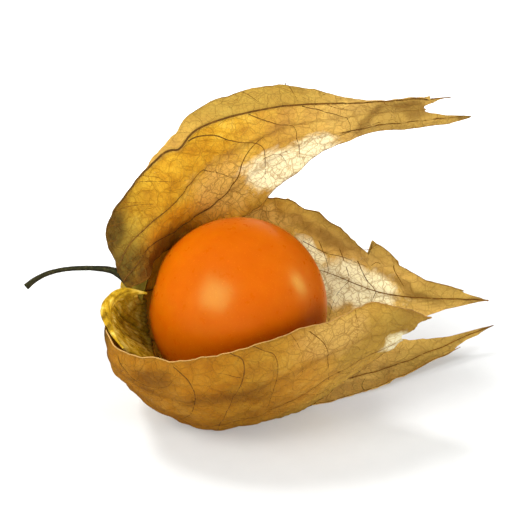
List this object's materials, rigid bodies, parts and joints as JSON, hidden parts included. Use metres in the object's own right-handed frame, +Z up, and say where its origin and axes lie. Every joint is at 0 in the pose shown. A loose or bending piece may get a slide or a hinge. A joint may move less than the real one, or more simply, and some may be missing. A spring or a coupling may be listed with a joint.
{
  "type": "physalis berry",
  "caption": "Ripe physalis berry lying on its side in its opened, papery husk, with a short dry stalk.",
  "frame": {"origin": "on the surface that the fruit lies on, under the middle of its box", "axes": "+X from the stalk to the husk's tips, +Z up, +Y to the back"},
  "size_m": [0.0538, 0.0304, 0.0337],
  "materials": {
    "berry_skin": "satin, waxy fruit skin",
    "husk_paper": "dry, thin and papery",
    "stem_bark": "dry and matt"
  },
  "bodies": {
    "root": {"berry": "berry_skin", "husk": "husk_paper", "stem": "stem_bark"}
  },
  "joints": []
}
